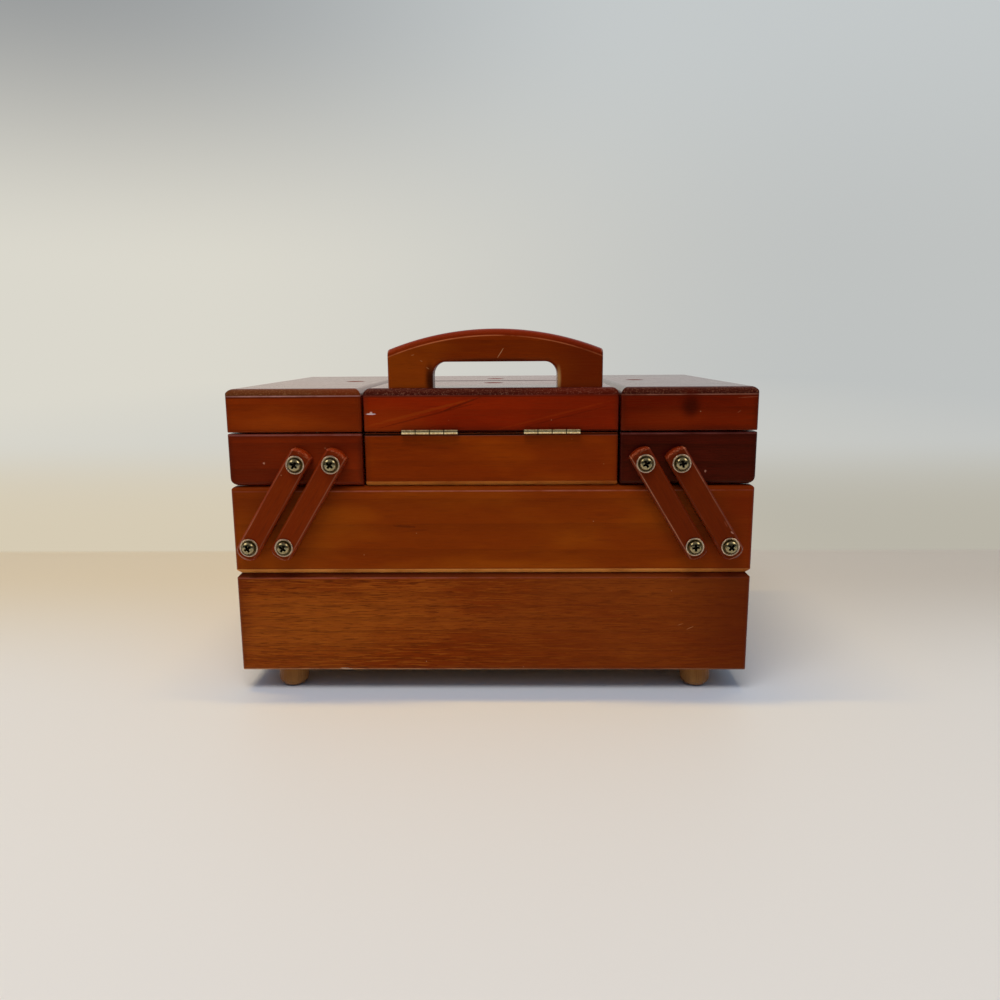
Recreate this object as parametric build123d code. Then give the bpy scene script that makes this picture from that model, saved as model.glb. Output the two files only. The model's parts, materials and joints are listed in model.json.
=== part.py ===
from build123d import *
import math
import os

# Wooden cantilever sewing box: a deep box on four feet, two lidded trays that swing out
# over its ends on parallel arms, and a fixed centre box with a pair of flap lids and a
# handle. X runs to the right, Y to the back and Z up, in millimetres. The origin is on
# the floor, under the middle of the box.

# Box tiers
body_width = 356.0  # over the end boards
body_depth = 230.0  # over the front and rear boards
base_height = 70.7  # lower boards of the deep box
middle_height = 61.8  # upper boards of the deep box
tray_height = 35.5
lid_height = 29.0
centre_width = 170.5  # over the sides of the centre box

# Boards and plywood panels
box_wall = 10.0
tray_wall = 8.0
lid_wall = 8.0
lid_board = 6.0  # top board of a lid
base_panel_thickness = 5.0  # bottom of the deep box, let in flush
tray_panel_thickness = 4.0  # bottom of a tray or of the centre box, in grooves
panel_rise = 5.0  # from the lower edge of a tray to its panel
groove_depth = 3.0

# Gaps
column_gap = 1.5  # between a tray and the centre box
tray_rest_gap = 0.4  # under a closed tray
seam_gap = 1.2  # between the two centre lids
panel_play = 0.1  # round a panel in its groove

# Edges
upright_round = 2.0
lid_round = 5.0
lip_bevel = 0.8  # where a lid meets its box
tray_end_round = 7.0  # lower outer edge of a tray
tray_under_round = 3.5  # lower front and rear edges of a tray
tray_inner_round = 2.0
middle_round = 3.8
middle_chamfer = 3.4  # lower edge of the middle boards and of the centre box
base_chamfer = 2.8
base_round = 2.2

# Finger dimples in the lids
dimple_diameter = 15.0
dimple_depth = 2.2
dimple_inset = 25.0  # from the opening edge of a side lid
seam_dimple_inset = 38.0  # from the seam of the centre lids

# Feet
foot_height = 15.5
foot_diameter = 21.3
foot_sole = 12.0  # diameter that stands on the floor
foot_belly = 18.6  # diameter at the middle of the turned curve
foot_belly_rise = 2.4
foot_shoulder_rise = 7.2  # where the turned curve meets the straight neck
foot_end_inset = 32.3  # centre to the end of the box
foot_face_inset = 16.0  # centre to the front or rear of the box

# Arms and the pivots that they turn on
arm_width = 15.0
arm_thickness = 8.5
arm_gap = 0.4  # between an arm and the boards that it swings over
arm_bevel = 1.2  # worn-down edges of the outer face
arm_corner_round = 1.6
arm_top_reach = 10.1  # past the upper pivot
arm_foot_reach = 9.4  # past the lower pivot
arm_top_crown = 2.3  # rise of the arc across the upper end
arm_foot_crown = 4.1
pivot_spacing = 23.8  # between the two arms of a pair
lower_pivot_inset = 15.2  # lower outer pivot to the end of the box
lower_pivot_rise = 21.2  # above the joint of base and middle boards
upper_pivot_inset = 17.85  # upper inner pivot to the inner side of its tray
upper_pivot_drop = 19.8  # below the upper edge of a tray
pivot_shift = -2.1  # the arms of both sides stand a little left of the middle

# Pivot screws and washers
shank_diameter = 4.2
screw_grip = 7.0  # length in the wood
head_diameter = 8.5
head_height = 3.0
head_crown = 4.4  # diameter of the flat on top of the head
head_shoulder = 7.6  # diameter partway up the dome
head_shoulder_rise = 1.9
recess_span = 4.2
recess_slot = 1.1
recess_depth = 1.9
recess_taper = 12
washer_diameter = 12.7
washer_thickness = 1.0
washer_play = 0.2  # between an arm and its washer
pivot_play = 0.05  # radial, arm on screw
open_pivot_play = 0.3  # radial, at the upper end of an inner arm
seat_play = 0.05  # round a screw in wood

# Butt hinges
hinge_length = 38.0
hinge_leaf = 0.9
hinge_reach = 9.0  # from the pin to the far edge of a leaf
barrel_diameter = 3.6
pin_diameter = 1.8
knuckle_count = 4
knuckle_gap = 0.2
leaf_play = 0.2  # between closed leaves
barrel_stand = 0.3  # between the barrel and the boards
mortise_play = 0.1  # round a leaf let into the wood
notch_play = 0.3  # between a leaf and the knuckles of the other leaf
bore_play = 0.05
centre_hinge_spacing = 81.7
side_hinge_spacing = 120.0

# Handle
handle_width = 143.8
handle_end_height = 25.0
handle_height = 38.7
handle_thickness = 18.0
handle_setback = 5.0  # behind the front boards
handle_offset = 3.0  # it is screwed on a little right of the middle
leg_width = 30.3
window_height = 17.0
window_round = 8.5
handle_crown_round = 4.5
handle_window_round = 3.0
handle_end_round = 2.0
handle_screw_grip = 14.0  # length in the handle
handle_screw_head = 7.0

# Levels, widths and places that follow
middle_floor = foot_height + base_height
middle_top = middle_floor + middle_height
tray_floor = middle_top + tray_rest_gap
tray_top = tray_floor + tray_height
hinge_level = tray_top + hinge_leaf + leaf_play / 2
lid_top = hinge_level + lid_height
side_width = (body_width - centre_width) / 2 - column_gap
side_middle = (body_width - side_width) / 2
half_lid_depth = (body_depth - seam_gap) / 2
half_lid_middle = (half_lid_depth + seam_gap) / 2
front_face = -body_depth / 2
head_stand = arm_gap + arm_thickness + washer_play + washer_thickness

# Pivots in the front view: distance from the middle of the box, and level
outer_lower = (body_width / 2 - lower_pivot_inset, middle_floor + lower_pivot_rise)
inner_lower = (outer_lower[0] - pivot_spacing, outer_lower[1])
inner_upper = (centre_width / 2 + column_gap + upper_pivot_inset, tray_top - upper_pivot_drop)
outer_upper = (inner_upper[0] + pivot_spacing, inner_upper[1])
arm_run = inner_lower[0] - inner_upper[0]
arm_rise = inner_upper[1] - inner_lower[1]
arm_length = math.hypot(arm_run, arm_rise)
arm_lean = math.degrees(math.atan2(arm_run, arm_rise))

LEFT = -1
RIGHT = 1
ON_FLOOR = (Align.CENTER, Align.CENTER, Align.MIN)
BELOW = (Align.CENTER, Align.CENTER, Align.MAX)


def save(name, pieces):
    """Write one node. A node of several pieces holds them as separate solids."""
    solids = [solid for piece in pieces for solid in piece.solids()]
    shape = solids[0] if len(solids) == 1 else Compound(children=solids)
    export_step(shape, f"parts/{name}.step")


def block(width, depth, height):
    return Box(width, depth, height, align=ON_FLOOR)


def cut(piece, cutters):
    for cutter in cutters:
        piece = piece - cutter
    return piece


# ---- boards ----

def view_outline(width, height, corners):
    """A tier seen square on, standing on y = 0, its corners eased as (side, level, size, kind)."""
    outline = Rectangle(width, height, align=(Align.CENTER, Align.MIN))
    for side, level, size, ease in corners:
        row = outline.vertices().group_by(Axis.Y)[level]
        outline = ease(row.sort_by(Axis.X)[side], size)
    return outline


def both_sides(top, top_ease, bottom, bottom_ease):
    """The same easing at the left and the right of a view."""
    corners = []
    for side in (0, -1):
        corners.append((side, -1, top, top_ease))
        corners.append((side, 0, bottom, bottom_ease))
    return corners


def tier_shape(width, depth, height, front_corners, end_corners):
    """The outer shape of a tier, run round its edges as its front and end views show."""
    plan = extrude(RectangleRounded(width, depth, upright_round), height)
    front_view = Plane.XZ * view_outline(width, height, front_corners)
    end_view = Plane.YZ * view_outline(depth, height, end_corners)
    return plan & extrude(front_view, depth / 2, both=True) & extrude(end_view, width / 2, both=True)


def board_frame(width, depth, height, wall, shape):
    """Front, rear, left and right boards in a tier's shape.

    The end boards sit in rebates half a wall deep in the long boards.
    """
    end_board = block(wall, depth - wall, height)
    left = Pos((wall - width) / 2, 0, 0) * end_board
    right = Pos((width - wall) / 2, 0, 0) * end_board
    long_board = block(width, wall, height)
    front = Pos(0, (wall - depth) / 2, 0) * long_board - left - right
    rear = Pos(0, (depth - wall) / 2, 0) * long_board - left - right
    return {name: board & shape for name, board in
            (("front", front), ("rear", rear), ("left", left), ("right", right))}


def panel_space(width, depth, thickness):
    """What a let-in panel takes out of the boards round it."""
    return block(width + 2 * panel_play, depth + 2 * panel_play, thickness)


def grooved_box(name, width, height, front_corners, end_corners, place, cutters):
    """Four boards round a plywood bottom that sits in grooves above their lower edges."""
    panel_width = width - 2 * (tray_wall - groove_depth)
    panel_depth = body_depth - 2 * (tray_wall - groove_depth)
    lift = Pos(0, 0, panel_rise)
    groove = lift * panel_space(panel_width, panel_depth, tray_panel_thickness)
    shape = tier_shape(width, body_depth, height, front_corners, end_corners)
    boards = board_frame(width, body_depth, height, tray_wall, shape)
    for label, board in boards.items():
        save(f"{name}_{label}_board", [cut(place * (board - groove), cutters)])
    save(f"{name}_panel", [place * lift * block(panel_width, panel_depth, tray_panel_thickness)])


# ---- pivot screws, washers and arms ----

def wood_screw(grip, below_head, head):
    """Round-headed screw along Z, the underside of its head at z = 0."""
    shank = shank_diameter / 2
    length = grip + below_head
    rim = head / 2
    shoulder = rim * head_shoulder / head_diameter
    crown = rim * head_crown / head_diameter
    outline = [
        Line((0, -length), (shank, -length)),
        Line((shank, -length), (shank, 0)),
        Line((shank, 0), (rim, 0)),
        ThreePointArc((rim, 0), (shoulder, head_shoulder_rise), (crown, head_height)),
        Line((crown, head_height), (0, head_height)),
        Line((0, head_height), (0, -length)),
    ]
    return revolve(Plane.XZ * make_face(outline), Axis.Z)


def cross_recess():
    """Cutter for the cross in a screw head."""
    slot = Rectangle(recess_span, recess_slot)
    cross = slot + Rot(0, 0, 90) * slot
    return extrude(Plane.XY.offset(head_height) * cross, -recess_depth, taper=recess_taper)


def screw_bore(grip):
    """Pilot hole down from z = 0."""
    return Cylinder(shank_diameter / 2 + seat_play, grip + seat_play, align=BELOW)


def washer():
    ring = Circle(washer_diameter / 2) - Circle(shank_diameter / 2 + pivot_play)
    return extrude(ring, washer_thickness)


def arm(upper_play):
    """Swing arm, its lower pivot at the origin and its upper pivot up the Y axis."""
    half = arm_width / 2
    foot_end = -arm_foot_reach
    foot_side = foot_end + arm_foot_crown
    top_end = arm_length + arm_top_reach
    top_side = top_end - arm_top_crown
    outline = make_face([
        ThreePointArc((-half, foot_side), (0, foot_end), (half, foot_side)),
        Line((half, foot_side), (half, top_side)),
        ThreePointArc((half, top_side), (0, top_end), (-half, top_side)),
        Line((-half, top_side), (-half, foot_side)),
    ])
    bar = extrude(fillet(outline.vertices(), arm_corner_round), arm_thickness)
    bar = chamfer(bar.faces().sort_by(Axis.Z)[-1].edges(), arm_bevel)
    lower_bore = Cylinder(shank_diameter / 2 + pivot_play, arm_thickness, align=ON_FLOOR)
    upper_bore = Cylinder(shank_diameter / 2 + upper_play, arm_thickness, align=ON_FLOOR)
    return bar - lower_bore - Pos(0, arm_length, 0) * upper_bore


def at_pivot(pivot, side, stand, shape):
    """A shape that faces forward at a pivot, off the boards, and its mirror at the rear."""
    seat_x = side * pivot[0] + pivot_shift
    seat = Plane((seat_x, front_face - stand, pivot[1]), x_dir=(1, 0, 0), z_dir=(0, -1, 0))
    front = seat.location * shape
    return [front, mirror(front, Plane.XZ)]


def at_pivots(pivots, sides, stand, shape):
    placed = []
    for side in sides:
        for pivot in pivots:
            placed.extend(at_pivot(pivot, side, stand, shape))
    return placed


def save_pivots(name, pivots, sides):
    screw = wood_screw(screw_grip, head_stand, head_diameter) - cross_recess()
    save(f"{name}_screws", at_pivots(pivots, sides, head_stand, screw))
    save(f"{name}_washers", at_pivots(pivots, sides, head_stand - washer_thickness, washer()))


def save_arms(name, side):
    for label, pivot, upper_play in (
        ("outer", outer_lower, pivot_play),
        ("inner", inner_lower, open_pivot_play),
    ):
        leaning = Rot(0, 0, side * arm_lean) * arm(upper_play)
        front, rear = at_pivot(pivot, side, arm_gap, leaning)
        save(f"{name}_{label}_front_arm", [front])
        save(f"{name}_{label}_rear_arm", [rear])


# ---- hinges ----

def hinge_half(first_knuckle, above):
    """One leaf with its knuckles, on the pin axis X and reaching to +Y.

    The leaf on the lid lies above the axis, and the leaf on the box below it.
    """
    level = (leaf_play + hinge_leaf) / 2
    height = level if above else -level
    root = barrel_diameter / 2 + notch_play
    pitch = hinge_length / knuckle_count
    knuckle_length = pitch - knuckle_gap
    knuckle = Cylinder(barrel_diameter / 2, knuckle_length, rotation=(0, 90, 0))
    knuckle += Pos(0, root / 2, height) * Box(knuckle_length, root, hinge_leaf)
    half = Pos(0, (root + hinge_reach) / 2, height) * Box(hinge_length, hinge_reach - root, hinge_leaf)
    for index in range(first_knuckle, knuckle_count, 2):
        half += Pos((index + 0.5) * pitch - hinge_length / 2, 0, 0) * knuckle
    return half - Cylinder(pin_diameter / 2 + bore_play, 2 * hinge_length, rotation=(0, 90, 0))


def leaf_mortise():
    """Recess in the lower edge of a lid for the leaf above the pin axis."""
    depth = leaf_play / 2 + hinge_leaf
    reach = hinge_reach + mortise_play
    return Pos(0, reach / 2, depth / 2) * Box(hinge_length + 2 * mortise_play, reach, depth)


def hinge_places(face_distance, spacing, turn):
    """The pin axes of two hinges on the face that is turned about Z from the front."""
    stand = barrel_diameter / 2 + barrel_stand
    return [Rot(0, 0, turn) * Pos(end * spacing / 2, -face_distance - stand, hinge_level) for end in (-1, 1)]


def save_lid_leaves(name, hinges):
    save(f"{name}_hinge_leaves", [hinge * hinge_half(0, True) for hinge in hinges])


def save_box_leaves(name, hinges):
    """The leaves on the box, and the pins, which stay in them."""
    pin = Cylinder(pin_diameter / 2, hinge_length, rotation=(0, 90, 0))
    save(f"{name}_hinge_leaves", [hinge * hinge_half(1, False) for hinge in hinges])
    save(f"{name}_hinge_pins", [hinge * pin for hinge in hinges])


# ---- lids and handle ----

def dimple():
    """Round finger dimple down from z = 0."""
    rim = dimple_diameter / 2
    radius = (rim**2 + dimple_depth**2) / (2 * dimple_depth)
    return Pos(0, 0, radius - dimple_depth) * Sphere(radius)


def save_lid(name, width, depth, place, hinges, dimple_place, cutters):
    """A top board on a frame of four rails, all rounded over as one."""
    corners = both_sides(lid_round, fillet, lip_bevel, chamfer)
    shape = tier_shape(width, depth, lid_height, corners, corners)
    rail_height = lid_height - lid_board
    mortises = [hinge * leaf_mortise() for hinge in hinges]
    rails = board_frame(width, depth, rail_height, lid_wall, shape)
    save(f"{name}_lid_rails", [cut(place * rail, mortises) for rail in rails.values()])
    top = shape & Pos(0, 0, rail_height) * block(width, depth, lid_board)
    top = top - dimple_place * Pos(0, 0, lid_height) * dimple()
    save(f"{name}_lid_top", [cut(place * top, cutters)])
    save_lid_leaves(f"{name}_lid", hinges)


def handle():
    """Arched grip along X with a finger window, standing on z = 0, its front on y = 0."""
    half = handle_width / 2
    outline = make_face([
        Line((-half, 0), (-half, handle_end_height)),
        ThreePointArc((-half, handle_end_height), (0, handle_height), (half, handle_end_height)),
        Line((half, handle_end_height), (half, 0)),
        Line((half, 0), (-half, 0)),
    ])
    grip = extrude(Plane.XZ * outline, -handle_thickness)
    grip = fillet(grip.edges().filter_by(GeomType.CIRCLE), handle_crown_round)
    ends = grip.faces().sort_by(Axis.X)
    rims = [edge for end in (ends[0], ends[-1]) for edge in end.edges() if edge.center().Z > 0]
    grip = fillet(rims, handle_end_round)
    window_corners = [(side, -1, window_round, fillet) for side in (0, -1)]
    window = view_outline(handle_width - 2 * leg_width, window_height, window_corners)
    window = extrude(Plane.XZ * window, 2 * handle_thickness, both=True)
    pierced = grip - window
    window_rims = new_edges(grip, window, combined=pierced).filter_by(Axis.Y, reverse=True)
    return fillet(window_rims.filter_by(lambda edge: edge.center().Z > 0), handle_window_round)


# ---- the pieces, tier by tier ----

def save_base():
    rebate = box_wall / 2
    panel_width = body_width - 2 * rebate
    panel_depth = body_depth - 2 * rebate
    place = Pos(0, 0, foot_height)
    corners = both_sides(base_chamfer, chamfer, base_round, fillet)
    shape = tier_shape(body_width, body_depth, base_height, corners, corners)
    space = panel_space(panel_width, panel_depth, base_panel_thickness)
    for label, board in board_frame(body_width, body_depth, base_height, box_wall, shape).items():
        save(f"base_{label}_board", [place * (board - space)])

    foot_x = body_width / 2 - foot_end_inset
    foot_y = body_depth / 2 - foot_face_inset
    foot_places = [Pos(x, y, foot_height) for x in (-foot_x, foot_x) for y in (-foot_y, foot_y)]
    save("base_panel", [place * block(panel_width, panel_depth, base_panel_thickness)])
    save("feet", [spot * foot() for spot in foot_places])


def foot():
    """Turned foot below z = 0, glued up against the bottom panel."""
    rim = foot_diameter / 2
    sole = (foot_sole / 2, -foot_height)
    belly = (foot_belly / 2, foot_belly_rise - foot_height)
    shoulder = (rim, foot_shoulder_rise - foot_height)
    outline = [
        Line((0, -foot_height), sole),
        ThreePointArc(sole, belly, shoulder),
        Line(shoulder, (rim, 0)),
        Line((rim, 0), (0, 0)),
        Line((0, 0), (0, -foot_height)),
    ]
    return revolve(Plane.XZ * make_face(outline), Axis.Z)


def save_middle():
    corners = both_sides(middle_round, fillet, middle_chamfer, chamfer)
    shape = tier_shape(body_width, body_depth, middle_height, corners, corners)
    bores = at_pivots((outer_lower, inner_lower), (LEFT, RIGHT), 0, screw_bore(screw_grip))
    for label, board in board_frame(body_width, body_depth, middle_height, box_wall, shape).items():
        save(f"middle_{label}_board", [cut(Pos(0, 0, middle_floor) * board, bores)])
    save_pivots("lower_pivot", (outer_lower, inner_lower), (LEFT, RIGHT))


def save_centre():
    """Centre box, glued on top of the middle boards, with its two lids and the handle."""
    side_corners = both_sides(lip_bevel, chamfer, tray_inner_round, fillet)
    end_corners = both_sides(lip_bevel, chamfer, middle_chamfer, chamfer)
    height = tray_top - middle_top
    grooved_box("centre", centre_width, height, side_corners, end_corners, Pos(0, 0, middle_top), [])

    handle_place = Pos(handle_offset, front_face + handle_setback, lid_top)
    leg_middle = (handle_width - leg_width) / 2
    bore = screw_bore(lid_board + handle_screw_grip)
    screw = wood_screw(handle_screw_grip, lid_board, handle_screw_head)
    seats = [handle_place * Pos(x, handle_thickness / 2, -lid_board) * Rot(180, 0, 0)
             for x in (-leg_middle, leg_middle)]
    bores = [seat * bore for seat in seats]
    save("handle", [cut(handle_place * handle(), bores)])
    save("handle_screws", [seat * screw for seat in seats])

    box_hinges = []
    dimple_reach = half_lid_depth / 2 - seam_dimple_inset
    for name, side, turn, cutters in (("front", -1, 0, bores), ("rear", 1, 180, [])):
        hinges = hinge_places(body_depth / 2, centre_hinge_spacing, turn)
        place = Pos(0, side * half_lid_middle, hinge_level)
        dimple_place = Pos(0, -side * dimple_reach, 0)
        save_lid(name, centre_width, half_lid_depth, place, hinges, dimple_place, cutters)
        box_hinges.extend(hinges)
    save_box_leaves("centre", box_hinges)


def save_side(name, side):
    """One tray with its lid, its four arms and the screws that the arms turn on."""
    outer, inner = (0, -1) if side == LEFT else (-1, 0)
    side_corners = [
        (outer, -1, lip_bevel, chamfer),
        (inner, -1, lip_bevel, chamfer),
        (outer, 0, tray_end_round, fillet),
        (inner, 0, tray_inner_round, fillet),
    ]
    end_corners = both_sides(lip_bevel, chamfer, tray_under_round, fillet)
    uppers = (outer_upper, inner_upper)
    bores = at_pivots(uppers, (side,), 0, screw_bore(screw_grip))
    place = Pos(side * side_middle, 0, tray_floor)
    grooved_box(f"{name}_tray", side_width, tray_height, side_corners, end_corners, place, bores)
    save_pivots(f"{name}_tray_pivot", uppers, (side,))
    save_arms(name, side)

    hinges = hinge_places(body_width / 2, side_hinge_spacing, side * 90)
    lid_place = Pos(side * side_middle, 0, hinge_level)
    dimple_place = Pos(side * (dimple_inset - side_width / 2), 0, 0)
    save_lid(name, side_width, body_depth, lid_place, hinges, dimple_place, [])
    save_box_leaves(f"{name}_tray", hinges)


os.makedirs("parts", exist_ok=True)
save_base()
save_middle()
save_centre()
save_side("left", LEFT)
save_side("right", RIGHT)
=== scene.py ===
import json
import math
import random

import bmesh
import bpy
from mathutils import Matrix, Vector


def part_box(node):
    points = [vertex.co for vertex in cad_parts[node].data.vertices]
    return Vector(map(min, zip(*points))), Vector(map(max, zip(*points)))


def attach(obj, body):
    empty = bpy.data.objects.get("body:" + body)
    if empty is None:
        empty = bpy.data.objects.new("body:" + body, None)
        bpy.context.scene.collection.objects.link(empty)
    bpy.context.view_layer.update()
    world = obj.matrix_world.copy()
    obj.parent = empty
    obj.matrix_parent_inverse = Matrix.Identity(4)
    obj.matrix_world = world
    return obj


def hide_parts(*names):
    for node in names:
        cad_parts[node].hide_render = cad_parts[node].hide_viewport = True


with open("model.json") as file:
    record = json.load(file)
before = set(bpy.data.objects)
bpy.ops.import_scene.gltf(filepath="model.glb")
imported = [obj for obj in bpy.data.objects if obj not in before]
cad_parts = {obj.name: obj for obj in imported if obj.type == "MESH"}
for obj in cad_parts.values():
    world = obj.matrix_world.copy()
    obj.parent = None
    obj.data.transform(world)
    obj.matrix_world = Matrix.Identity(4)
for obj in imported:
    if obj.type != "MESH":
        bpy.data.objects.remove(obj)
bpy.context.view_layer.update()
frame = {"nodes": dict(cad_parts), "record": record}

mm = 0.001
sides = {"left": -1, "right": 1}
boards = ("front", "rear", "left", "right")
noiseRange = (0.3, 0.7)  # nearly all of a noise texture's values lie in it
smooth = {"interpolation_type": "SMOOTHSTEP"}  # for a range that eases in and out
inColour = {"data_type": "RGBA"}  # for a mix of two colours
print("frame loaded,", len(frame["nodes"]), "nodes")


# sRGB hex to the linear colour that shaders work in
def linear(hexColour):
    channels = [int(hexColour[i:i + 2], 16) / 255 for i in (1, 3, 5)]
    return [c / 12.92 if c <= 0.04045 else ((c + 0.055) / 1.055) ** 2.4 for c in channels] + [1]


# one shader node: its settings, then its inputs as values or as sockets to link
def addNode(tree, kind, settings=None, inputs=None):
    node = tree.nodes.new("ShaderNode" + kind)
    for key, value in (settings or {}).items():
        setattr(node, key, value)
    for socket, value in (inputs or {}).items():
        if isinstance(value, bpy.types.NodeSocket):
            tree.links.new(value, node.inputs[socket])
        else:
            node.inputs[socket].default_value = value
    return node


# a material, its tree and its shader, with what is the same all over set on the shader's own sockets
def newMaterial(name, constants):
    material = bpy.data.materials.new(name)
    material.use_nodes = True
    shader = material.node_tree.nodes["Principled BSDF"]
    for socket, value in constants.items():
        shader.inputs[socket].default_value = value
    return material, material.node_tree, shader


# lowest and highest corner of several CAD nodes together, in millimetres
def cornersOf(names):
    boxes = [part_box(name) for name in names]
    low = [min(box[0][axis] for box in boxes) / mm for axis in range(3)]
    high = [max(box[1][axis] for box in boxes) / mm for axis in range(3)]
    return low, high


# one material on several CAD nodes
def paint(names, material):
    for name in names:
        slots = frame["nodes"][name].data.materials
        slots.clear()
        slots.append(material)


# what all the stained boards share, unless their own look says otherwise. The varnish has gone amber,
# so what it mirrors straight on comes back brown, and only a low angle gives a white sheen. Each layer
# of the grain and each broken line sets in between the two noise values of its edges
pineFinish = {
    "ior": 1.5,
    "specularTint": "#b8683a",
    "roughness": (0.2, 0.34),
    "topRoughness": (0.1, 0.2),  # the tops of the lids are rubbed smoother by hands
    "topShade": "#3c160a",  # and are drawn darker and browner
    "topShadeAmount": 0.5,
    "fibreMm": (20, 0.8),  # fibre bundles are 0.03 mm wide, too fine to show, so streaks are drawn
    "poreMm": (12, 0.55),
    "cloudMm": (120, 40),
    "cloudEdges": (0.38, 0.62),
    "ringEdges": (0.45, 1.0),
    "ringStretch": 0.08,  # rings run on along the grain, so their place counts only this much there
    "ringWobble": 3.0,
    "ringDetail": 0.03,
    "streakEdges": (0.5, 0.3),
    "streakAmount": 0.25,
    "shadeEdges": (0.5, 0.75),
    "shadeAmount": 0.3,
    "poreEdges": (0.52, 0.66),
    "bumpMm": 0.05,
    "bumpStrength": 0.25,
    "grimeMm": (5.0, 0.8),  # stain gathers from this far in from an edge, and is darkest this far in
    "rubMm": 0.6,  # varnish is rubbed thin this far in from an edge
    "bandReachMm": (5.0, 3.5),  # bands go round the outside, and fade out over a top or a rim
    "bandBlurMm": 0.25,
    "wornMm": 28,  # spacing of the gaps in a broken line, used for wear and for painted highlights
    "wornEdges": (0.3, 0.55),
    "crumbsMm": 0.9,  # size of the specks in a rough band
    "crumbsEdges": (0.52, 0.66),
    "spotDepthMm": 4,
    "spotNoisePerMm": 0.7,
    "spotEdges": (1.55, 1.2),  # in half sizes, after noise of about 0.5 has made the edge ragged
    "patchEdges": (1, 0.2),  # in half sizes
    "washThroughMm": 1000,
    "fleckMm": (17, 0.45),  # spacing and radius of pale specks in the varnish
    "fleck": "#c98f62",
    "fleckAmount": 0.6,
}

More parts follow.
